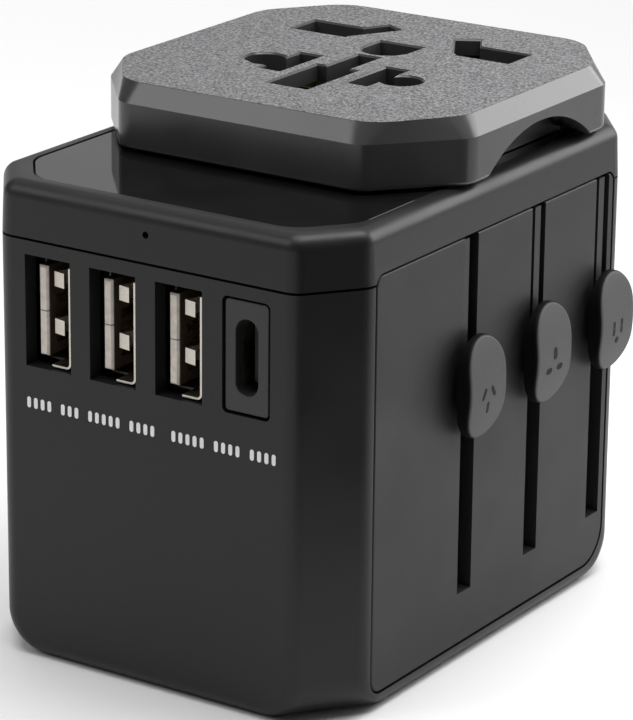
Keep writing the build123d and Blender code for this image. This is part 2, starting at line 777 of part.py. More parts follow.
with BuildPart() as usb_c_tongue:
    with BuildSketch(Plane.XZ.offset(-USB_C_SHELL_FRONT - 0.8)):
        with Locations((USB_C_X, PORT_Z)):
            RectangleRounded(0.7, 6.6, 0.3)
    extrude(amount=-6.0)
    with BuildSketch(Plane.XZ.offset(-USB_C_BACK)):
        with Locations((USB_C_X, PORT_Z)):
            SlotOverall(USB_C_HOLE[1] - 0.2, USB_C_HOLE[0] - 0.2, rotation=90)
    extrude(amount=USB_C_BACK - USB_C_SHELL_FRONT - 6.8)

usb_c_tongue.part.label = "usb_c_tongue"
export_step(usb_c_tongue.part, "parts/usb_c_tongue.step")


# ---------------------------------------------------------------- charger electronics

BOARD_BACK = BOARD_FRONT + BOARD_THICKNESS
BOARD_BOTTOM = DECK_TOP + 0.1
BOARD_TOP = 49.2


def block(low, high, softness=0.0):
    """Plain block between two corners, with its upright edges softened."""
    with BuildPart() as piece:
        with Locations(((low[0] + high[0]) / 2, (low[1] + high[1]) / 2, low[2])):
            Box(
                high[0] - low[0],
                high[1] - low[1],
                high[2] - low[2],
                align=(Align.CENTER, Align.CENTER, Align.MIN),
            )
        if softness > 0:
            fillet(piece.edges().filter_by(Axis.Z), softness)
    return piece.part


with BuildPart() as charger_board:
    with Locations((-0.5, (BOARD_FRONT + BOARD_BACK) / 2, BOARD_BOTTOM)):
        Box(
            42.0,
            BOARD_THICKNESS,
            BOARD_TOP - BOARD_BOTTOM,
            align=(Align.CENTER, Align.CENTER, Align.MIN),
        )
    with BuildSketch(Plane.XZ.offset(-BOARD_FRONT)):
        with Locations((-18.5, 32), (17.5, 32)):
            Circle(1.1)
    extrude(amount=-BOARD_THICKNESS, mode=Mode.SUBTRACT)

charger_board.part.label = "charger_board"
export_step(charger_board.part, "parts/charger_board.step")

with BuildPart() as transformer:
    with Locations((-4.6, -10.8, DECK_TOP + 0.1)):
        Box(13.0, 11.6, 3.4, align=(Align.CENTER, Align.CENTER, Align.MIN))
        with Locations((0, 0, 3.4)):
            Box(9.0, 8.4, 5.4, align=(Align.CENTER, Align.CENTER, Align.MIN))
        with Locations((0, 0, 8.8)):
            Box(13.0, 11.6, 3.4, align=(Align.CENTER, Align.CENTER, Align.MIN))
    fillet(transformer.edges().filter_by(Axis.Z), 0.6)

transformer.part.label = "transformer"

with BuildPart() as input_capacitor:
    with BuildSketch(Plane.XY.offset(DECK_TOP + 0.1)):
        with Locations((6.3, -12.4)):
            Circle(4.0)
    extrude(amount=12.5)
    fillet(input_capacitor.edges().filter_by(GeomType.CIRCLE), 0.5)

input_capacitor.part.label = "input_capacitor"

with BuildPart() as output_capacitors:
    with BuildSketch(Plane.XY.offset(DECK_TOP + 0.1)):
        with Locations((13.0, -14.1), (18.4, -14.1)):
            Circle(2.5)
    extrude(amount=9.0)
    fillet(output_capacitors.edges().filter_by(GeomType.CIRCLE), 0.4)

output_capacitors.part.label = "output_capacitors"

control_chip = block((11.0, BOARD_BACK, 40.0), (17.0, BOARD_BACK + 1.2, 45.0))
control_chip.label = "control_chip"
status_led = block((-0.8, BOARD_FRONT - 0.9, 47.6), (0.8, BOARD_FRONT, 49.2))
status_led.label = "status_led"

with BuildPart() as light_pipe:
    with BuildSketch(Plane.XZ.offset(DEPTH / 2 - 1.3)):
        with Locations((0, LED_Z)):
            Circle(0.36)
    extrude(amount=-3)
    with Locations((0, DEPTH / -2 + WALL + 0.1, LED_Z)):
        Box(
            1.2,
            12.8,
            1.2,
            align=(Align.CENTER, Align.MIN, Align.CENTER),
        )
    with Locations((0, BOARD_FRONT - 1.5, LED_Z)):
        Box(1.2, 1.2, LED_Z - 49.4, align=(Align.CENTER, Align.MIN, Align.MAX))

light_pipe.part.label = "light_pipe"

# Fuse, lying across the deck behind the well columns, in two clips.
FUSE_Y = 17.5
FUSE_Z = 33.0
FUSE_RADIUS = 2.5
CLIP_X = 7.5

with BuildPart() as fuse:
    with BuildSketch(Plane.YZ.offset(-10.0)):
        with Locations((FUSE_Y, FUSE_Z)):
            Circle(FUSE_RADIUS)
    extrude(amount=20.0)
    fillet(fuse.edges().filter_by(GeomType.CIRCLE), 0.3)

fuse.part.label = "fuse"

with BuildPart() as fuse_clips:
    for x in (-CLIP_X, CLIP_X):
        with BuildSketch(Plane.YZ.offset(x - 1.5)):
            with Locations((FUSE_Y, FUSE_Z)):
                Circle(FUSE_RADIUS + 0.4)
            with Locations((FUSE_Y, DECK_TOP + 0.1)):
                Rectangle(4.4, FUSE_Z - DECK_TOP - 2, align=(Align.CENTER, Align.MIN))
            with Locations((FUSE_Y, FUSE_Z)):
                Circle(FUSE_RADIUS, mode=Mode.SUBTRACT)
            with Locations((FUSE_Y, FUSE_Z + 1.6)):
                Rectangle(9, 6, align=(Align.CENTER, Align.MIN), mode=Mode.SUBTRACT)
        extrude(amount=3.0)

fuse_clips.part.label = "fuse_clips"

# Sleeves that take the round pins of the plug block, and the bars that join them up.
SLEEVE_BOTTOM = DECK_TOP + 0.1
SLEEVE_TOP = WELL_FLOOR - 0.2
SLEEVE_GRIP = 0.07
SLEEVE_WALL = 0.6

with BuildPart() as contact_sleeves:
    with BuildSketch(Plane.XY.offset(SLEEVE_BOTTOM)):
        with Locations(*EU_PLACES):
            Circle(EU_RADIUS + SLEEVE_GRIP + SLEEVE_WALL)
            Circle(EU_RADIUS + SLEEVE_GRIP, mode=Mode.SUBTRACT)
    extrude(amount=SLEEVE_TOP - SLEEVE_BOTTOM)

contact_sleeves.part.label = "contact_sleeves"


def busbar(side):
    """Flat bar on the deck, from one sleeve to the fuse or the board."""
    with BuildPart() as piece:
        with BuildSketch(Plane.XY.offset(SLEEVE_BOTTOM)) as flat:
            if side > 0:
                with Locations((11.2, 15.0)):
                    Rectangle(2.4, 8.0)
            else:
                with Locations((-12.6, -0.5)):
                    Rectangle(2.4, 29.0)
                with Locations((-11.6, 8.5)):
                    Rectangle(2.4, 4.0)
            with Locations((side * EU_PITCH / 2, HEAD_Y)):
                Circle(EU_RADIUS + SLEEVE_GRIP + SLEEVE_WALL, mode=Mode.SUBTRACT)
        extrude(amount=0.6)
    return piece.part


live_busbar = busbar(1)
live_busbar.label = "live_busbar"
neutral_busbar = busbar(-1)
neutral_busbar.label = "neutral_busbar"

# Leaf contacts on the floor, beside the carriers, that the lowered pins press against.
CONTACT_PLACES = [
    ((-11.95, -6.0), (0.4, 4.0)),
    ((7.0, -10.0), (4.0, 0.4)),
    ((-10.0, 12.6), (4.0, 0.4)),
    ((10.0, 12.6), (4.0, 0.4)),
    ((-6.0, 19.0), (4.0, 0.4)),
    ((6.0, 19.0), (4.0, 0.4)),
]

with BuildPart() as pin_contacts:
    with BuildSketch(Plane.XY.offset(FLOOR)):
        for centre, size in CONTACT_PLACES:
            with Locations(centre):
                Rectangle(*size)
    extrude(amount=11.0)

pin_contacts.part.label = "pin_contacts"

with BuildPart() as case_screws:
    with BuildSketch(Plane.XY.offset(SEAT_Z - 1.6)):
        with Locations(*SCREW_PLACES):
            Circle(1.85)
    extrude(amount=1.3)
    with BuildSketch(Plane.XY.offset(SEAT_Z - 1.6)):
        with Locations(*SCREW_PLACES):
            Circle(0.9)
    extrude(amount=-8.5)
    with BuildSketch(Plane.XY.offset(SEAT_Z - 0.3)):
        with Locations(*SCREW_PLACES):
            Rectangle(2.2, 0.5)
            Rectangle(0.5, 2.2)
    extrude(amount=-0.7, mode=Mode.SUBTRACT)

case_screws.part.label = "case_screws"

for piece in (
    transformer.part,
    input_capacitor.part,
    output_capacitors.part,
    control_chip,
    status_led,
    light_pipe.part,
    fuse.part,
    fuse_clips.part,
    contact_sleeves.part,
    live_busbar,
    neutral_busbar,
    pin_contacts.part,
    case_screws.part,
):
    export_step(piece, "parts/" + piece.label + ".step")


# ---------------------------------------------------------------- socket head: cover

# Holes of the face. Each live or neutral hole takes a flat British or slanted Australian
# pin; each one in front of it takes a flat American or round European pin.
RIM_BEVEL = 0.22
FLAT_HOLE = (7.65, 5.2)
FLAT_HOLE_PLACE = (11.38, 19.8)
SLANT_HOLE = (3.0, 6.9)
SLANT_HOLE_PLACE = (6.9, 21.75)
SLANT_ANGLE = 30.0
BLADE_HOLE = (3.0, 8.9)
BLADE_HOLE_PLACE = (6.0, 3.15)
ROUND_HOLE_RADIUS = 2.45
ROUND_HOLE_PLACE = (9.45, 3.1)
SECOND_ROUND_HOLE_RADIUS = 2.15
SECOND_ROUND_HOLE_PLACE = (-8.6, 2.3)
EARTH_D = (6.0, 6.3)
EARTH_D_PLACE = (0.0, 14.95)
EARTH_WIDE = (5.5, 10.6)
EARTH_WIDE_PLACE = (0.0, -1.2)
EARTH_NARROW = (3.0, 7.4)
EARTH_NARROW_PLACE = (0.0, 7.2)


def face_holes():
    """All holes of the face, in one sketch."""
    with BuildSketch() as holes:
        for side in (-1, 1):
            with Locations((side * FLAT_HOLE_PLACE[0], FLAT_HOLE_PLACE[1])):
                Rectangle(*FLAT_HOLE)
            place = Location(
                (side * SLANT_HOLE_PLACE[0], SLANT_HOLE_PLACE[1], 0),
                (0, 0, side * SLANT_ANGLE),
            )
            with Locations(place):
                Rectangle(*SLANT_HOLE)
            with Locations((side * BLADE_HOLE_PLACE[0], BLADE_HOLE_PLACE[1])):
                Rectangle(*BLADE_HOLE)
            with Locations((side * ROUND_HOLE_PLACE[0], ROUND_HOLE_PLACE[1])):
                Circle(ROUND_HOLE_RADIUS)
        with Locations(SECOND_ROUND_HOLE_PLACE):
            Circle(SECOND_ROUND_HOLE_RADIUS)
        with Locations(EARTH_WIDE_PLACE):
            Rectangle(*EARTH_WIDE)
        with Locations(EARTH_NARROW_PLACE):
            Rectangle(*EARTH_NARROW)
        d_radius = EARTH_D[0] / 2
        with Locations((EARTH_D_PLACE[0], EARTH_D_PLACE[1] - EARTH_D[1] / 2 + d_radius)):
            Circle(d_radius)
        with Locations((EARTH_D_PLACE[0], EARTH_D_PLACE[1] + EARTH_D[1] / 2)):
            Rectangle(EARTH_D[0], EARTH_D[1] - d_radius, align=(Align.CENTER, Align.MAX))
    return holes.sketch


def recess_arch(grow):
    """Arch of the finger recess, drawn on the YZ plane."""
    radius = (RECESS_HALF**2 + RECESS_RISE**2) / (2 * RECESS_RISE)
    centre_z = HEAD_BOTTOM + RECESS_RISE - radius
    with BuildSketch() as arch:
        with Locations((HEAD_Y, centre_z)):
            Circle(radius + grow)
        with Locations((HEAD_Y, HEAD_BOTTOM - 1)):
            Rectangle(80, 100, align=(Align.CENTER, Align.MAX), mode=Mode.SUBTRACT)
    return arch.sketch


HEAD_SCREWS = [(x, HEAD_Y + y) for x in (-15.0, 15.0) for y in (-19.8, 19.8)]
HEAD_SOFTNESS = 3.2
case_inset = HEAD_WALL + 0.2

with BuildPart() as head_cover:
    with BuildSketch(Plane.XY.offset(HEAD_BOTTOM)):
        add(head_outline(0, HEAD_SOFTNESS))
    extrude(amount=HEAD_SHOULDER - HEAD_BOTTOM)
    fillet(head_cover.faces().sort_by(Axis.Z)[0].edges(), 0.5)
    with BuildSketch(Plane.XY.offset(HEAD_SHOULDER)):
        add(head_outline(0, HEAD_SOFTNESS))
    with BuildSketch(Plane.XY.offset(HEAD_TOP)):
        add(head_top_outline())
    loft(ruled=True)

    # Hollow, with an arched hood over each finger recess.
    with BuildSketch(Plane.XY.offset(HEAD_BOTTOM)):
        add(head_outline(HEAD_WALL, 2.0))
    extrude(amount=HEAD_TOP - FACE_THICKNESS - HEAD_BOTTOM, mode=Mode.SUBTRACT)
    for side in (-1, 1):
        hood_depth = HEAD_HALF_X - 0.8 - (RECESS_BACK + 0.1)
        with BuildSketch(Plane.YZ.offset(side * (RECESS_BACK + 0.1))) as hood:
            add(recess_arch(1.3))
            with Locations((HEAD_Y, HEAD_BOTTOM + 0.5)):
                Rectangle(60, 20, align=(Align.CENTER, Align.MAX), mode=Mode.SUBTRACT)
        extrude(amount=side * hood_depth)
        with BuildSketch(Plane.YZ.offset(side * (RECESS_BACK - 0.5))):
            add(recess_arch(0))
        extrude(amount=side * 8, mode=Mode.SUBTRACT)

    # Screw bosses, and the holes of the face with bevelled rims.
    with BuildSketch(Plane.XY.offset(HEAD_BOTTOM + 2.2)):
        with Locations(*HEAD_SCREWS):
            Circle(2.0)
    extrude(amount=HEAD_TOP - 1 - HEAD_BOTTOM - 2.2)
    with BuildSketch(Plane.XY.offset(HEAD_BOTTOM + 2.2)):
        with Locations(*HEAD_SCREWS):
            Circle(0.9)
    extrude(amount=3.2, mode=Mode.SUBTRACT)
    with BuildSketch(Plane.XY.offset(HEAD_TOP - FACE_THICKNESS - 0.5)):
        add(face_holes())
    extrude(amount=FACE_THICKNESS + 1, mode=Mode.SUBTRACT)
    rims = head_cover.faces().sort_by(Axis.Z)[-1].inner_wires()
    chamfer([edge for rim in rims for edge in rim.edges()], RIM_BEVEL)

head_cover.part.label = "head_cover"
export_step(head_cover.part, "parts/head_cover.step")


# ---------------------------------------------------------------- socket head: plug block

FLANGE_BOTTOM = HEAD_BOTTOM + 0.4
FLANGE_TOP = HEAD_BOTTOM + 2.1
BLOCK_WALL = 1.0
EU_SHANK = 1.6

with BuildPart() as head_case:
    # Flange inside the cover, cut back behind the finger recesses.
    with BuildSketch(Plane.XY.offset(FLANGE_BOTTOM)):
        add(head_outline(case_inset, 2.0))
        for side in (-1, 1):
            with Locations((side * RECESS_BACK, HEAD_Y)):
                Rectangle(
                    20,
                    2 * (RECESS_HALF + 2.6),
                    align=(Align.MIN if side > 0 else Align.MAX, Align.CENTER),
                    mode=Mode.SUBTRACT,
                )
    extrude(amount=FLANGE_TOP - FLANGE_BOTTOM)
    # Pad that stands on the glossy plate, and the walls behind the recesses.
    with BuildSketch(Plane.XY.offset(PLATE_TOP + 0.05)):
        with Locations((0, HEAD_Y)):
            RectangleRounded(38.6, 39.0, 3)
    extrude(amount=FLANGE_BOTTOM - PLATE_TOP - 0.05)
    for side in (-1, 1):
        with BuildSketch(Plane.YZ.offset(side * RECESS_BACK)):
            add(recess_arch(0.4))
            with Locations((HEAD_Y, PLATE_TOP + 0.15)):
                Rectangle(60, 20, align=(Align.CENTER, Align.MAX), mode=Mode.SUBTRACT)
        extrude(amount=-side * 1.3)

    # Block that goes down into the well, hollow and open at the top.
    with BuildSketch(Plane.XY.offset(BLOCK_BOTTOM)):
        with Locations((0, HEAD_Y)):
            Rectangle(2 * BLOCK_HALF_X, 2 * BLOCK_HALF_Y)
    extrude(amount=FLANGE_TOP - BLOCK_BOTTOM)
    fillet(head_case.edges().group_by(Axis.Z)[0], 0.6)
    with BuildSketch(Plane.XY.offset(BLOCK_BOTTOM + BLOCK_WALL)):
        with Locations((0, HEAD_Y)):
            Rectangle(2 * (BLOCK_HALF_X - BLOCK_WALL), 2 * (BLOCK_HALF_Y - BLOCK_WALL))
    extrude(amount=20, mode=Mode.SUBTRACT)
    with BuildSketch(Plane.XY.offset(BLOCK_BOTTOM - 1)):
        with Locations(*EU_PLACES):
            Circle(EU_SHANK)
    extrude(amount=3, mode=Mode.SUBTRACT)
    with BuildSketch(Plane.XY.offset(PLATE_TOP)):
        with Locations(*HEAD_SCREWS):
            Circle(1.1)
    extrude(amount=10, mode=Mode.SUBTRACT)
    with BuildSketch(Plane.XY.offset(PLATE_TOP)):
        with Locations(*HEAD_SCREWS):
            Circle(2.0)
    extrude(amount=1.8, mode=Mode.SUBTRACT)

head_case.part.label = "head_case"
export_step(head_case.part, "parts/head_case.step")

STRIP_THICKNESS = 0.6
STRIP_BOTTOM = BLOCK_BOTTOM + BLOCK_WALL

with BuildPart() as eu_pins:
    with BuildSketch(Plane.XY.offset(BLOCK_BOTTOM - EU_LENGTH)):
        with Locations(*EU_PLACES):
            Circle(EU_RADIUS)
    extrude(amount=EU_LENGTH)
    fillet(eu_pins.edges().filter_by(GeomType.CIRCLE).group_by(Axis.Z)[0], 1.6)
    with BuildSketch(Plane.XY.offset(BLOCK_BOTTOM)):
        with Locations(*EU_PLACES):
            Circle(EU_SHANK)
    extrude(amount=BLOCK_WALL + STRIP_THICKNESS)
    with BuildSketch(Plane.XY.offset(STRIP_BOTTOM + STRIP_THICKNESS)):
        with Locations(*EU_PLACES):
            Circle(EU_SHANK + 0.8)
    extrude(amount=0.5)

eu_pins.part.label = "eu_pins"


def socket_contact(side):
    """Strip in the plug block, with leaves that grip flat, slanted and round pins."""
    leaf = 0.4
    flat_x, flat_y = FLAT_HOLE_PLACE
    flat_half = FLAT_HOLE[1] / 2
    blade_x, blade_y = BLADE_HOLE_PLACE
    with BuildPart() as piece:
        with Locations((side * 9.6, 10.75, STRIP_BOTTOM)):
            Box(10.4, 24.1, STRIP_THICKNESS, align=(Align.CENTER, Align.CENTER, Align.MIN))
        with BuildSketch(Plane.XY.offset(STRIP_BOTTOM)):
            with Locations((side * flat_x, flat_y - flat_half + leaf / 2)):
                Rectangle(6.6, leaf)
            with Locations((side * flat_x, flat_y + flat_half - leaf / 2)):
                Rectangle(6.6, leaf)
            with Locations((side * (blade_x - 1.4), blade_y)):
                Rectangle(leaf, 7.6)
            with Locations((side * (blade_x + 6.2), blade_y)):
                Rectangle(leaf, 4.4)
        extrude(amount=12.0)
        with BuildSketch(Plane.XY.offset(STRIP_BOTTOM - 1)):
            with Locations((side * EU_PITCH / 2, HEAD_Y)):
                Circle(EU_SHANK)
        extrude(amount=3, mode=Mode.SUBTRACT)
    return piece.part


with BuildPart() as head_screws:
    with BuildSketch(Plane.XY.offset(PLATE_TOP + 0.5)):
        with Locations(*HEAD_SCREWS):
            Circle(1.85)
    extrude(amount=1.25)
    with BuildSketch(Plane.XY.offset(PLATE_TOP + 1.7)):
        with Locations(*HEAD_SCREWS):
            Circle(0.88)
    extrude(amount=4.0)

head_screws.part.label = "head_screws"
live_socket_contact = socket_contact(1)
live_socket_contact.label = "live_socket_contact"
neutral_socket_contact = socket_contact(-1)
neutral_socket_contact.label = "neutral_socket_contact"

for piece in (eu_pins.part, live_socket_contact, neutral_socket_contact, head_screws.part):
    export_step(piece, "parts/" + piece.label + ".step")
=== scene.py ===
import json
import math

import bmesh
import bpy
from mathutils import Matrix, Vector


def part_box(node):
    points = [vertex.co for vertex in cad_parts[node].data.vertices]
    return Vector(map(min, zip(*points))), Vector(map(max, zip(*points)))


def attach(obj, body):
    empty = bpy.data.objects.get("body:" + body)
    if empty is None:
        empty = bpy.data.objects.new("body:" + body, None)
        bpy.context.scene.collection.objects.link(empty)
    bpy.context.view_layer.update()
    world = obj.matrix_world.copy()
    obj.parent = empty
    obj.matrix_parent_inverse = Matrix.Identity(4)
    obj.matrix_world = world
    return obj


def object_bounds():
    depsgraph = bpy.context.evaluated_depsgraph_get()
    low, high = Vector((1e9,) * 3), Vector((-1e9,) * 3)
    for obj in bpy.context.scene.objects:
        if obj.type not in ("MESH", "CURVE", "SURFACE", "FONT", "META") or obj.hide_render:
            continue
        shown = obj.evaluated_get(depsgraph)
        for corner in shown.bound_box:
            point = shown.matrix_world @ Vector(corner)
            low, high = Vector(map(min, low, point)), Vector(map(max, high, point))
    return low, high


# Universal travel adapter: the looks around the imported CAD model, in metres.

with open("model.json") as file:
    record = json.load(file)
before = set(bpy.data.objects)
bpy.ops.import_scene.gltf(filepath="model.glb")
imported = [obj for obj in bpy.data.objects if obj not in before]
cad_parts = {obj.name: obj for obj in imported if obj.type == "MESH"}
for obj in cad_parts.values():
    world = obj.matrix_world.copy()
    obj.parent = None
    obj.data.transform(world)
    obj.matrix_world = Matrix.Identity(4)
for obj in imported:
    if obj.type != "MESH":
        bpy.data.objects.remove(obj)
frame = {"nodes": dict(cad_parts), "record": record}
cad_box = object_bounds()
nodes = frame["nodes"]
MM = 0.001


# ---------------------------------------------------------------- material kit

# Places of the mix node's sockets, which has one set for plain values and another for colours.
MIX_FACTOR = 0
MIX_FIRST_VALUE, MIX_SECOND_VALUE, MIX_VALUE_OUT = 2, 3, 0
MIX_FIRST_COLOUR, MIX_SECOND_COLOUR, MIX_COLOUR_OUT = 6, 7, 2


class Surface:
    """A node material being made, with detail that follows the object's own coordinates."""

    def __init__(self, name, colour, roughness, metallic=0.0, shine=0.5):
        self.material = bpy.data.materials.new(name)
        self.material.use_nodes = True
        self.tree = self.material.node_tree
        self.shader = self.tree.nodes["Principled BSDF"]
        self.colour = Vector(colour)
        self.roughness = roughness
        self.put("Base Color", self.shade(1.0))
        self.put("Roughness", roughness)
        self.put("Metallic", metallic)
        self.put("Specular IOR Level", shine)
        self.place = self.node("ShaderNodeTexCoord").outputs["Object"]
        self.axes = self.node("ShaderNodeSeparateXYZ")
        self.join(self.axes.inputs[0], self.place)

    def node(self, kind, **settings):
        made = self.tree.nodes.new(kind)
        for key, value in settings.items():
            setattr(made, key, value)
        return made

    def join(self, socket, value):
        """Links a socket to another one, or gives it a plain value."""
        if isinstance(value, bpy.types.NodeSocket):
            self.tree.links.new(value, socket)
        else:
            socket.default_value = value

    def put(self, name, value):
        self.join(self.shader.inputs[name], value)

    def shade(self, factor):
        """The material's own colour, made darker or lighter."""
        return (*[min(1.0, factor * part) for part in self.colour], 1.0)

    def stretched(self, grain, stretch):
        """Object coordinates in units of one grain, which is longer along the stretched axes."""
        mapping = self.node("ShaderNodeMapping")
        self.join(mapping.inputs["Vector"], self.place)
        mapping.inputs["Scale"].default_value = [1 / (grain * part) for part in stretch]
        return mapping.outputs["Vector"]

    def noise(self, grain, detail=2.0, stretch=(1, 1, 1)):
        """Cloudy pattern whose grains are about this large, in metres."""
        texture = self.node("ShaderNodeTexNoise")
        self.join(texture.inputs["Vector"], self.stretched(grain, stretch))
        texture.inputs["Scale"].default_value = 1.0
        texture.inputs["Detail"].default_value = detail
        return texture.outputs["Fac"]

    def cells(self, grain):
        """Cell pattern, as the distance from the nearest edge between two cells."""
        texture = self.node("ShaderNodeTexVoronoi", feature="DISTANCE_TO_EDGE")
        self.join(texture.inputs["Vector"], self.stretched(grain, (1, 1, 1)))
        texture.inputs["Scale"].default_value = 1.0
        return texture.outputs["Distance"]

    def spread(self, value, low, high, start=0.3, end=0.7):
        """Takes a value that runs from start to end, and makes it run from low to high."""
        ranged = self.node("ShaderNodeMapRange")
        self.join(ranged.inputs["Value"], value)
        ranged.inputs["From Min"].default_value = start
        ranged.inputs["From Max"].default_value = end
        ranged.inputs["To Min"].default_value = low
        ranged.inputs["To Max"].default_value = high
        return ranged.outputs["Result"]

    def maths(self, operation, first, second):
        step = self.node("ShaderNodeMath", operation=operation)
        self.join(step.inputs[0], first)
        self.join(step.inputs[1], second)
        return step.outputs[0]

    def mix(self, factor, first, second):
        """Colour between two colours."""
        blend = self.node("ShaderNodeMix", data_type="RGBA")
        self.join(blend.inputs[MIX_FACTOR], factor)
        self.join(blend.inputs[MIX_FIRST_COLOUR], first)
        self.join(blend.inputs[MIX_SECOND_COLOUR], second)
        return blend.outputs[MIX_COLOUR_OUT]

    def between(self, axis, low, high, softness):
        """1 where a coordinate lies between two values, 0 elsewhere."""
        rise = self.spread(self.axes.outputs[axis], 0, 1, low - softness, low + softness)
        fall = self.spread(self.axes.outputs[axis], 1, 0, high - softness, high + softness)
        return self.maths("MULTIPLY", rise, fall)

    def bump(self, height, depth):
        """Raises the surface by up to this depth, in metres, where the height is 1."""
        relief = self.node("ShaderNodeBump")
        self.join(relief.inputs["Height"], height)
        relief.inputs["Distance"].default_value = depth
        self.put("Normal", relief.outputs["Normal"])


def moulded(name, colour, roughness, shine=0.5, grain=0.16 * MM, depth=0.012 * MM, uneven=0.16):
    """Moulded plastic: a fine eroded grain, and a faint broad unevenness of colour and gloss."""
    surface = Surface(name, colour, roughness, shine=shine)
    fine = surface.noise(grain, detail=3)
    broad = surface.noise(9 * MM, detail=3)
    tone = surface.spread(surface.maths("ADD", fine, broad), 0, 1, 0.6, 1.4)
    surface.put("Base Color", surface.mix(tone, surface.shade(1 - uneven), surface.shade(1 + uneven)))
    surface.put("Roughness", surface.spread(broad, roughness - 0.04, roughness + 0.05))
    surface.bump(fine, depth)
    return surface


def worked_metal(name, colour, roughness, stretch=(1, 1, 12), grain=0.05 * MM, depth=0.0015 * MM):
    """Drawn, rolled or plated metal, with fine lines along one axis and a slight tarnish."""
    surface = Surface(name, colour, roughness, metallic=1.0)
    lines = surface.noise(grain, detail=3, stretch=stretch)
    tarnish = surface.noise(2.5 * MM, detail=4)
    tone = surface.spread(tarnish, 0, 1)
    surface.put("Base Color", surface.mix(tone, surface.shade(0.82), surface.shade(1.06)))
    mottle = surface.maths("ADD", lines, tarnish)
    surface.put("Roughness", surface.spread(mottle, roughness - 0.08, roughness + 0.12, 0.7, 1.3))
    surface.bump(lines, depth)
    return surface


# ---------------------------------------------------------------- materials of the shell


def shell_plastic():
    return moulded("shell_plastic", (0.0135, 0.0135, 0.0138), 0.38, shine=0.28)


def panel_plastic():
    return moulded("panel_plastic", (0.015, 0.015, 0.0153), 0.5, shine=0.30)


def case_plastic():
    return moulded("case_plastic", (0.026, 0.026, 0.027), 0.42, shine=0.4)


def knob_plastic():
    """Grey finely grained face on a smoother side wall, whose colour is painted much darker as painted
    shade.
    """
    grain, depth = 0.22 * MM, 0.02 * MM
    surface = moulded("knob_plastic", (0.056, 0.056, 0.057), 0.55, 0.4, grain, depth)
    facing = surface.node("ShaderNodeSeparateXYZ")
    surface.join(facing.inputs[0], surface.node("ShaderNodeTexCoord").outputs["Normal"])
    face_vs_painted_side_shade = surface.spread(facing.outputs["X"], 0, 1, 0.55, 0.85)
    grained = surface.shader.inputs["Base Color"].links[0].from_socket
    # The side walls get a tenth of the face's colour, as painted shade on the knob's sides.
    surface.put("Base Color", surface.mix(face_vs_painted_side_shade, surface.shade(0.1), grained))
    surface.put("Specular IOR Level", surface.spread(face_vs_painted_side_shade, 0.06, 0.4, 0, 1))
    return surface


def frame_plastic():
    return moulded("frame_plastic", (0.016, 0.016, 0.016), 0.5, shine=0.4)


def carrier_plastic():
    return moulded("carrier_plastic", (0.021, 0.021, 0.0214), 0.5, shine=0.30)


def plate_gloss():
    """Polished black plate: almost a mirror, with the faint waviness and haze of a handled surface."""
    surface = Surface("plate_gloss", (0.006, 0.006, 0.0065), 0.05)
    haze = surface.noise(6 * MM, detail=5)
    waves = surface.noise(18 * MM, detail=1)
    tone = surface.spread(haze, 0, 1)
    surface.put("Base Color", surface.mix(tone, surface.shade(0.8), surface.shade(1.3)))
    surface.put("Roughness", surface.spread(haze, 0.03, 0.075))
    surface.bump(waves, 0.02 * MM)
    return surface


def head_plastic():
    """Semi-gloss black, except for the flat top face, which has a coarse grain painted light grey with
    bright specks, as painted sheen and glints on the black plastic.
    """
    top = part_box("head_cover")[1].z
    dark_grain, grain_with_painted_sheen = (0.045, 0.045, 0.047, 1), (0.27, 0.27, 0.275, 1)
    surface = Surface("head_plastic", (0.040, 0.040, 0.0405), 0.24)
    on_top = surface.spread(surface.axes.outputs["Z"], 0, 1, top - 0.04 * MM, top - 0.01 * MM)
    coarse = surface.noise(0.34 * MM, detail=2)
    sparkle = surface.noise(0.2 * MM, detail=4)
    broad = surface.noise(12 * MM, detail=2)
    speck = surface.spread(surface.maths("ADD", coarse, sparkle), 0, 1, 0.78, 1.28)
    # The top's grain is painted light grey with bright specks: painted sheen and glints, not the
    # plastic's own black.
    grain_and_painted_sheen_colour = surface.mix(speck, dark_grain, grain_with_painted_sheen)
    wall_tone = surface.spread(broad, 0, 1)
    wall_colour = surface.mix(wall_tone, surface.shade(0.85), surface.shade(1.2))
    surface.put("Base Color", surface.mix(on_top, wall_colour, grain_and_painted_sheen_colour))
    wall_gloss = surface.spread(broad, 0.2, 0.29)
    roughness = surface.node("ShaderNodeMix")
    surface.join(roughness.inputs[MIX_FACTOR], on_top)
    surface.join(roughness.inputs[MIX_FIRST_VALUE], wall_gloss)
    surface.join(roughness.inputs[MIX_SECOND_VALUE], surface.spread(sparkle, 0.42, 0.62))
    surface.put("Roughness", roughness.outputs[MIX_VALUE_OUT])
    surface.put("Specular IOR Level", surface.spread(on_top, 0.5, 0.16, 0, 1))
    surface.bump(surface.maths("MULTIPLY", surface.maths("ADD", coarse, sparkle), on_top), 0.045 * MM)
    return surface


# ---------------------------------------------------------------- materials of the ports and pins


def port_steel():
    return worked_metal("port_steel", (0.58, 0.54, 0.48), 0.3, stretch=(1, 14, 1))


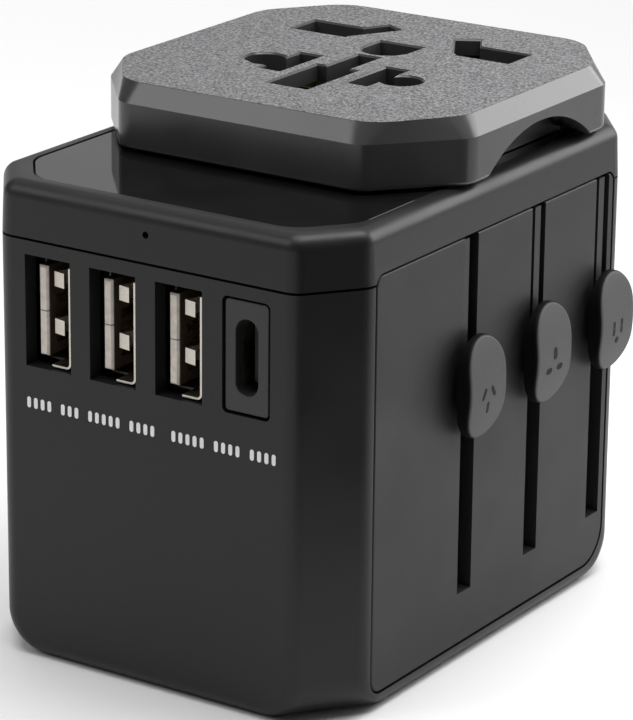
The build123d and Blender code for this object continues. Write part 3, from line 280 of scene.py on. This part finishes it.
def tongue_plastic():
    """Tongue with a bright front end, painted dark brown behind it as painted shade inside the port, and
    a parting line across its middle.
    """
    low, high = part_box("usb_a_tongue_left")
    middle = (low.z + high.z) / 2
    end_depth = 0.3 * MM
    half_line = 0.07 * MM
    painted_port_shade = (0.055, 0.038, 0.026, 1)
    surface = Surface("tongue_plastic", (0.62, 0.57, 0.50), 0.36)
    cloudy = surface.noise(0.8 * MM, detail=3)
    streaks = surface.noise(0.12 * MM, detail=2, stretch=(1, 1, 18))
    plain = surface.mix(surface.spread(cloudy, 0, 1), surface.shade(0.86), surface.shade(1.1))
    line = surface.between("Z", middle - half_line, middle + half_line, 0.03 * MM)
    # Behind the front end the colour is painted dark brown, as painted shade inside the port.
    shaded_behind_end = surface.spread(surface.axes.outputs["Y"], 0, 1, low.y + end_depth, low.y + 1.3 * end_depth)
    lined = surface.mix(line, plain, surface.shade(0.18))
    surface.put("Base Color", surface.mix(shaded_behind_end, lined, painted_port_shade))
    surface.put("Roughness", surface.spread(streaks, 0.28, 0.48))
    surface.bump(streaks, 0.006 * MM)
    return surface


def tongue_black():
    return moulded("tongue_black", (0.006, 0.006, 0.006), 0.4, shine=0.3)


def contact_gold():
    return worked_metal("contact_gold", (0.83, 0.62, 0.28), 0.22, stretch=(1, 12, 1))


def contact_brass():
    return worked_metal("contact_brass", (0.74, 0.55, 0.27), 0.3)


def pin_metal():
    return worked_metal("pin_metal", (0.70, 0.68, 0.64), 0.2)


def sleeved_pin_metal():
    """Plated pin with a black insulating sleeve over its upper part."""
    sleeve_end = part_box("uk_line_pins")[0].z + 8.5 * MM
    edge = 0.05 * MM
    surface = worked_metal("sleeved_pin_metal", (0.70, 0.68, 0.64), 0.2)
    sleeve = surface.spread(surface.axes.outputs["Z"], 0, 1, sleeve_end - edge, sleeve_end + edge)
    plated = surface.shader.inputs["Base Color"].links[0].from_socket
    surface.put("Base Color", surface.mix(sleeve, plated, (0.012, 0.012, 0.012, 1)))
    surface.put("Metallic", surface.spread(sleeve, 1, 0, 0, 1))
    gloss = surface.noise(1.2 * MM)
    base = surface.spread(sleeve, 0.14, 0.34, 0, 1)
    surface.put("Roughness", surface.maths("ADD", base, surface.spread(gloss, 0.0, 0.12)))
    return surface


# ---------------------------------------------------------------- materials of the insides


def screw_steel():
    return worked_metal("screw_steel", (0.50, 0.50, 0.52), 0.32, stretch=(6, 6, 1))


def spring_steel():
    return worked_metal("spring_steel", (0.56, 0.56, 0.57), 0.28, stretch=(8, 1, 1))


def board_laminate():
    """Green solder mask over copper tracks, with the glass weave just showing through."""
    surface = Surface("board_laminate", (0.012, 0.12, 0.045), 0.3)
    track = surface.spread(surface.cells(2.6 * MM), 1, 0, 0.04, 0.06)
    weave = surface.noise(0.25 * MM, detail=1, stretch=(1, 1, 5))
    green = surface.mix(surface.spread(weave, 0, 1), surface.shade(0.8), surface.shade(1.1))
    surface.put("Base Color", surface.mix(track, green, (0.05, 0.28, 0.10, 1)))
    surface.put("Roughness", surface.spread(weave, 0.24, 0.38))
    surface.bump(track, 0.03 * MM)
    return surface


def winding_tape():
    """Transformer: two dark ferrite flanges, and yellow tape around the windings between them."""
    low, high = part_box("transformer")
    flange = 3.4 * MM
    surface = Surface("winding_tape", (0.80, 0.56, 0.06), 0.35)
    tape = surface.between("Z", low.z + flange, high.z - flange, 0.05 * MM)
    turns = surface.noise(0.4 * MM, detail=2, stretch=(14, 14, 1))
    ferrite = surface.noise(0.3 * MM, detail=4)
    yellow = surface.mix(surface.spread(turns, 0, 1), surface.shade(0.75), surface.shade(1.1))
    grey = surface.mix(surface.spread(ferrite, 0, 1), (0.03, 0.03, 0.033, 1), (0.07, 0.07, 0.075, 1))
    surface.put("Base Color", surface.mix(tape, grey, yellow))
    surface.put("Roughness", surface.spread(tape, 0.6, 0.3, 0, 1))
    surface.bump(surface.maths("ADD", turns, ferrite), 0.02 * MM)
    return surface


def capacitor_sleeve():
    """Shrink sleeve with a pale stripe down one side."""
    surface = Surface("capacitor_sleeve", (0.02, 0.03, 0.10), 0.25)
    wrinkle = surface.noise(0.6 * MM, detail=3, stretch=(4, 4, 1))
    low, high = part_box("input_capacitor")
    middle = (low.x + high.x) / 2
    half_stripe = 0.9 * MM
    stripe = surface.between("X", middle - half_stripe, middle + half_stripe, 0.05 * MM)
    blue = surface.mix(surface.spread(wrinkle, 0, 1), surface.shade(0.8), surface.shade(1.3))
    surface.put("Base Color", surface.mix(stripe, blue, (0.55, 0.56, 0.6, 1)))
    surface.put("Roughness", surface.spread(wrinkle, 0.18, 0.34))
    surface.bump(wrinkle, 0.02 * MM)
    return surface


def chip_epoxy():
    return moulded("chip_epoxy", (0.018, 0.018, 0.019), 0.6, grain=0.08 * MM, depth=0.008 * MM)


def led_lens():
    return moulded("led_lens", (0.78, 0.80, 0.84), 0.2, grain=0.3 * MM, depth=0.002 * MM, uneven=0.05)


def light_guide():
    """Smoke-tinted guide, made opaque and dark, as it looks while the light behind it is off."""
    return moulded("light_guide", (0.03, 0.03, 0.032), 0.12, grain=0.5 * MM, depth=0.002 * MM)


def fuse_glass():
    """Glass tube with a metal cap over each end."""
    low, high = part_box("fuse")
    cap = 5.0 * MM
    surface = Surface("fuse_glass", (0.62, 0.66, 0.62), 0.08)
    tube = surface.between("X", low.x + cap, high.x - cap, 0.05 * MM)
    lines = surface.noise(0.1 * MM, detail=3, stretch=(1, 10, 10))
    metal = surface.mix(surface.spread(lines, 0, 1), (0.55, 0.54, 0.52, 1), (0.72, 0.71, 0.68, 1))
    glass = surface.mix(surface.spread(lines, 0, 1), surface.shade(0.9), surface.shade(1.1))
    surface.put("Base Color", surface.mix(tube, metal, glass))
    surface.put("Metallic", surface.spread(tube, 1, 0, 0, 1))
    surface.put("Roughness", surface.spread(tube, 0.3, 0.06, 0, 1))
    return surface


def print_ink():
    return moulded("print_ink", (0.80, 0.80, 0.80), 0.45, grain=0.1 * MM, depth=0.004 * MM, uneven=0.06)


def engraving():
    return moulded("engraving", (0.012, 0.012, 0.012), 0.7, shine=0.2, grain=0.12 * MM)


SLOT_MATERIALS = (
    shell_plastic,
    panel_plastic,
    plate_gloss,
    head_plastic,
    case_plastic,
    knob_plastic,
    frame_plastic,
    carrier_plastic,
    pin_metal,
    port_steel,
    tongue_plastic,
    tongue_black,
    contact_gold,
    contact_brass,
    screw_steel,
    spring_steel,
    board_laminate,
    winding_tape,
    capacitor_sleeve,
    chip_epoxy,
    led_lens,
    light_guide,
    fuse_glass,
)
materials = {make.__name__: make().material for make in SLOT_MATERIALS}


def paint(piece, material):
    """Gives a piece one material all over."""
    piece.data.materials.clear()
    piece.data.materials.append(material)


for entry in frame["record"]["subparts"]:
    paint(nodes[entry["node"]], materials[entry["material_slot"]])
paint(nodes["uk_line_pins"], sleeved_pin_metal().material)


# ---------------------------------------------------------------- printed and engraved marks

ARC_STEPS = 6


def rounded_bar(length, width):
    """Outline of a bar with round ends, lying along its first axis, about the origin."""
    radius = width / 2
    points = []
    for end in (0, 1):
        for step in range(ARC_STEPS + 1):
            angle = math.pi * (step / ARC_STEPS - 0.5 + end)
            centre = (length / 2 - radius) * (1 - 2 * end)
            points.append((centre + radius * math.cos(angle), radius * math.sin(angle)))
    return points


def flat_mark(name, bars, lay, thickness, body, material):
    """One piece of thin bars, each a centre, length, width and turn.

    lay(across, up, depth) gives the place in space of a point of the flat drawing.
    """
    mesh = bpy.data.meshes.new(name)
    shape = bmesh.new()
    for centre, length, width, turn in bars:
        cosine, sine = math.cos(turn), math.sin(turn)
        rings = []
        for depth in (0, thickness):
            ring = []
            for across, up in rounded_bar(length, width):
                point = (centre[0] + across * cosine - up * sine, centre[1] + across * sine + up * cosine)
                ring.append(shape.verts.new(lay(*point, depth)))
            rings.append(ring)
        count = len(rings[0])
        shape.faces.new(rings[1])
        shape.faces.new(list(reversed(rings[0])))
        for index in range(count):
            after = (index + 1) % count
            shape.faces.new((rings[0][index], rings[0][after], rings[1][after], rings[1][index]))
    bmesh.ops.recalc_face_normals(shape, faces=shape.faces)
    shape.to_mesh(mesh)
    shape.free()
    piece = bpy.data.objects.new(name, mesh)
    bpy.context.scene.collection.objects.link(piece)
    paint(piece, material)
    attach(piece, body)


# Groups of small plain bars stand in for the line of print under the ports.
shell_low, shell_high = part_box("lower_shell")
LEGEND_GROUPS = (4, 3, 5, 4, 0, 5, 4, 4)
LEGEND_PITCH = 0.955 * MM
LEGEND_BAR = (1.3 * MM, 0.52 * MM)
LEGEND_DROP = 4.6 * MM
LEGEND_OVERHANG = 0.85 * MM
INK_THICKNESS = 0.025 * MM


def port_legend():
    """Row of printed bars, in groups, as wide as the row of ports."""
    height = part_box("usb_a_shell_left")[0].z - LEGEND_DROP
    total = (sum(LEGEND_GROUPS) + len(LEGEND_GROUPS) - 2) * LEGEND_PITCH
    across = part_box("usb_c_surround")[1].x + LEGEND_OVERHANG - total
    bars = []
    for group in LEGEND_GROUPS:
        for _ in range(group):
            bars.append(((across, height), *LEGEND_BAR, math.pi / 2))
            across += LEGEND_PITCH
        across += LEGEND_PITCH

    def lay(across, up, depth):
        return (across, shell_low.y + INK_THICKNESS - depth, up)

    # Half of each bar's thickness is sunk into the wall.
    flat_mark("port_legend", bars, lay, 2 * INK_THICKNESS, "housing", ink)


# Each knob carries the shape of the pins that it slides out: ((across, up), length, width) in mm, and the
# turn in degrees.
CROWN_RADIUS = 17 * MM
MARK_DROP = 1.0 * MM
MARK_SINK = 0.02 * MM
MARK_THICKNESS = 0.04 * MM
PIN_MARKS = {
    "aus": (((-0.95, 0.5), 1.5, 0.5, 60), ((0.95, 0.5), 1.5, 0.5, 120), ((0.0, -1.3), 1.4, 0.5, 90)),
    "uk": (((-1.2, -0.8), 1.3, 0.75, 0), ((1.2, -0.8), 1.3, 0.75, 0), ((0.0, 1.1), 1.5, 0.8, 90)),
    "us": (((-0.9, 0.3), 1.8, 0.5, 90), ((0.9, 0.3), 1.8, 0.5, 90), ((0.0, -1.3), 0.85, 0.8, 0)),
}


def knob_mark(name):
    """Pictogram on the crowned face of a knob."""
    low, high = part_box(name + "_knob")
    middle = (low + high) / 2

    def lay(across, up, depth):
        fall = CROWN_RADIUS - math.sqrt(CROWN_RADIUS**2 - (up - MARK_DROP) ** 2)
        return (high.x - fall - MARK_SINK + depth, middle.y + across, middle.z - MARK_DROP + up)

    bars = []
    for (across, up), length, width, turn in PIN_MARKS[name]:
        bars.append(((across * MM, up * MM), length * MM, width * MM, math.radians(turn)))
    flat_mark(name + "_knob_mark", bars, lay, MARK_THICKNESS, name + "_button", dark)


ink = print_ink().material
dark = engraving().material
port_legend()
for name in PIN_MARKS:
    knob_mark(name)


# ---------------------------------------------------------------- floor, light and camera

FLOOR_HALF = 6.0
FLOOR_DROP = 0.02 * MM
HOLE_INSET = (9.5 * MM, 6.8 * MM)
CARD_SIZE = (110 * MM, 120 * MM)
CARD_PLACE = (80 * MM, -57 * MM, 0)
CARD_TURN = math.radians(62)
WORLD_BRIGHT = 0.8
WORLD_DARK = 0.12
WORLD_TO_CAMERA = 0.93
SUN_STRENGTH = 2.15
SUN_WIDTH = math.radians(50)
object_middle = (cad_box[0] + cad_box[1]) / 2


def pale_floor():
    """Pale floor around the object's footprint, which leaves the pins room when they slide down."""
    inner_x = shell_high.x - HOLE_INSET[0]
    inner_y = shell_high.y - HOLE_INSET[1]
    corners = ((-1, -1), (1, -1), (1, 1), (-1, 1))
    mesh = bpy.data.meshes.new("floor")
    shape = bmesh.new()
    outer = [shape.verts.new((FLOOR_HALF * x, FLOOR_HALF * y, 0)) for x, y in corners]
    inner = [shape.verts.new((inner_x * x, inner_y * y, 0)) for x, y in corners]
    for index in range(4):
        after = (index + 1) % 4
        shape.faces.new((outer[index], outer[after], inner[after], inner[index]))
    shape.to_mesh(mesh)
    shape.free()
    floor = bpy.data.objects.new("floor", mesh)
    bpy.context.scene.collection.objects.link(floor)
    floor.location.z = -FLOOR_DROP
    surface = Surface("pale_floor", (0.86, 0.86, 0.86), 0.7, shine=0.2)
    cloud = surface.noise(0.3, detail=2)
    tone = surface.spread(cloud, 0, 1)
    surface.put("Base Color", surface.mix(tone, surface.shade(0.99), surface.shade(1.01)))
    # The floor's underside is clear, so that the object can be seen from below.
    clear = surface.node("ShaderNodeBsdfTransparent")
    one_sided = surface.node("ShaderNodeMixShader")
    surface.join(one_sided.inputs[0], surface.node("ShaderNodeNewGeometry").outputs["Backfacing"])
    surface.join(one_sided.inputs[1], surface.shader.outputs[0])
    surface.join(one_sided.inputs[2], clear.outputs[0])
    surface.join(surface.tree.nodes["Material Output"].inputs[0], one_sided.outputs[0])
    paint(floor, surface.material)


def soft_world():
    """Surroundings that are evenly pale to the camera, and light the object mostly from behind."""
    world = bpy.data.worlds.new("studio")
    world.use_nodes = True
    bpy.context.scene.world = world
    tree = world.node_tree
    place = tree.nodes.new("ShaderNodeTexCoord")
    towards_back = tree.nodes.new("ShaderNodeVectorMath")
    towards_back.operation = "DOT_PRODUCT"
    towards_back.inputs[1].default_value = (0.25, 0.95, 0.1)
    tree.links.new(place.outputs["Generated"], towards_back.inputs[0])
    fade = tree.nodes.new("ShaderNodeMapRange")
    fade.inputs["From Min"].default_value = -0.2
    fade.inputs["From Max"].default_value = 0.95
    fade.inputs["To Min"].default_value = WORLD_DARK
    fade.inputs["To Max"].default_value = WORLD_BRIGHT
    tree.links.new(towards_back.outputs["Value"], fade.inputs["Value"])
    seen = tree.nodes.new("ShaderNodeLightPath")
    strength = tree.nodes.new("ShaderNodeMix")
    tree.links.new(seen.outputs["Is Camera Ray"], strength.inputs[MIX_FACTOR])
    tree.links.new(fade.outputs["Result"], strength.inputs[MIX_FIRST_VALUE])
    strength.inputs[MIX_SECOND_VALUE].default_value = WORLD_TO_CAMERA
    background = tree.nodes["Background"]
    background.inputs["Color"].default_value = (1, 1, 1, 1)
    tree.links.new(strength.outputs[MIX_VALUE_OUT], background.inputs["Strength"])


def softbox(name, direction, distance, size, radiance):
    """Rectangular soft light that looks at the middle of the object."""
    towards = Vector(direction).normalized()
    lamp = bpy.data.lights.new(name, "AREA")
    lamp.shape = "RECTANGLE"
    lamp.size, lamp.size_y = size
    lamp.energy = radiance * math.pi * size[0] * size[1]
    light = bpy.data.objects.new(name, lamp)
    bpy.context.scene.collection.objects.link(light)
    light.visible_camera = False
    light.location = object_middle + towards * distance
    light.rotation_euler = (-towards).to_track_quat("-Z", "Y").to_euler()


def dark_card():
    """Dark card beside the camera's view, seen only as a reflection, mostly in the corner facets."""
    mesh = bpy.data.meshes.new("dark_card")
    across = CARD_SIZE[0] / 2
    corners = [(-across, 0, 0), (across, 0, 0), (across, 0, CARD_SIZE[1]), (-across, 0, CARD_SIZE[1])]
    mesh.from_pydata(corners, [], [(0, 1, 2, 3)])
    card = bpy.data.objects.new("dark_card", mesh)
    bpy.context.scene.collection.objects.link(card)
    card.location = CARD_PLACE
    card.rotation_euler.z = CARD_TURN
    card.visible_camera = False
    card.visible_shadow = False
    surface = Surface("dark_card", (0.05, 0.05, 0.05), 0.9, shine=0.0)
    blot = surface.noise(40 * MM, detail=2)
    tone = surface.spread(blot, 0, 1)
    surface.put("Base Color", surface.mix(tone, surface.shade(0.9), surface.shade(1.1)))
    paint(card, surface.material)


def high_sun():
    """Broad light from straight above, which mostly keeps the floor pale out to its edges."""
    lamp = bpy.data.lights.new("sun", "SUN")
    lamp.energy = SUN_STRENGTH
    lamp.angle = SUN_WIDTH
    light = bpy.data.objects.new("sun", lamp)
    bpy.context.scene.collection.objects.link(light)


pale_floor()
soft_world()
softbox("key", (-0.52, -0.57, 0.63), 0.7, (0.32, 0.32), 3.4)
softbox("side", (0.52, 0.72, 0.45), 0.17, (0.11, 0.09), 4.6)
softbox("top", (0.40, 0.05, 0.91), 0.14, (0.06, 0.06), 5.0)
high_sun()
dark_card()

CAMERA_PLACE = Vector((0.2262, -0.3434, 0.1684))
CAMERA_LOOK = Vector((-0.5210, 0.7916, -0.3191))
CAMERA_ROLL = math.radians(0.58)
FOCAL_LENGTH = 183.46
SENSOR_WIDTH = 36

lens = bpy.data.cameras.new("camera")
lens.lens = FOCAL_LENGTH
lens.sensor_width = SENSOR_WIDTH
camera = bpy.data.objects.new("camera", lens)
bpy.context.scene.collection.objects.link(camera)
turn = CAMERA_LOOK.to_track_quat("-Z", "Y").to_matrix() @ Matrix.Rotation(CAMERA_ROLL, 3, "Z")
camera.matrix_world = Matrix.Translation(CAMERA_PLACE) @ turn.to_4x4()
bpy.context.scene.camera = camera
bpy.context.scene.view_settings.view_transform = "Standard"

bpy.context.view_layer.update()
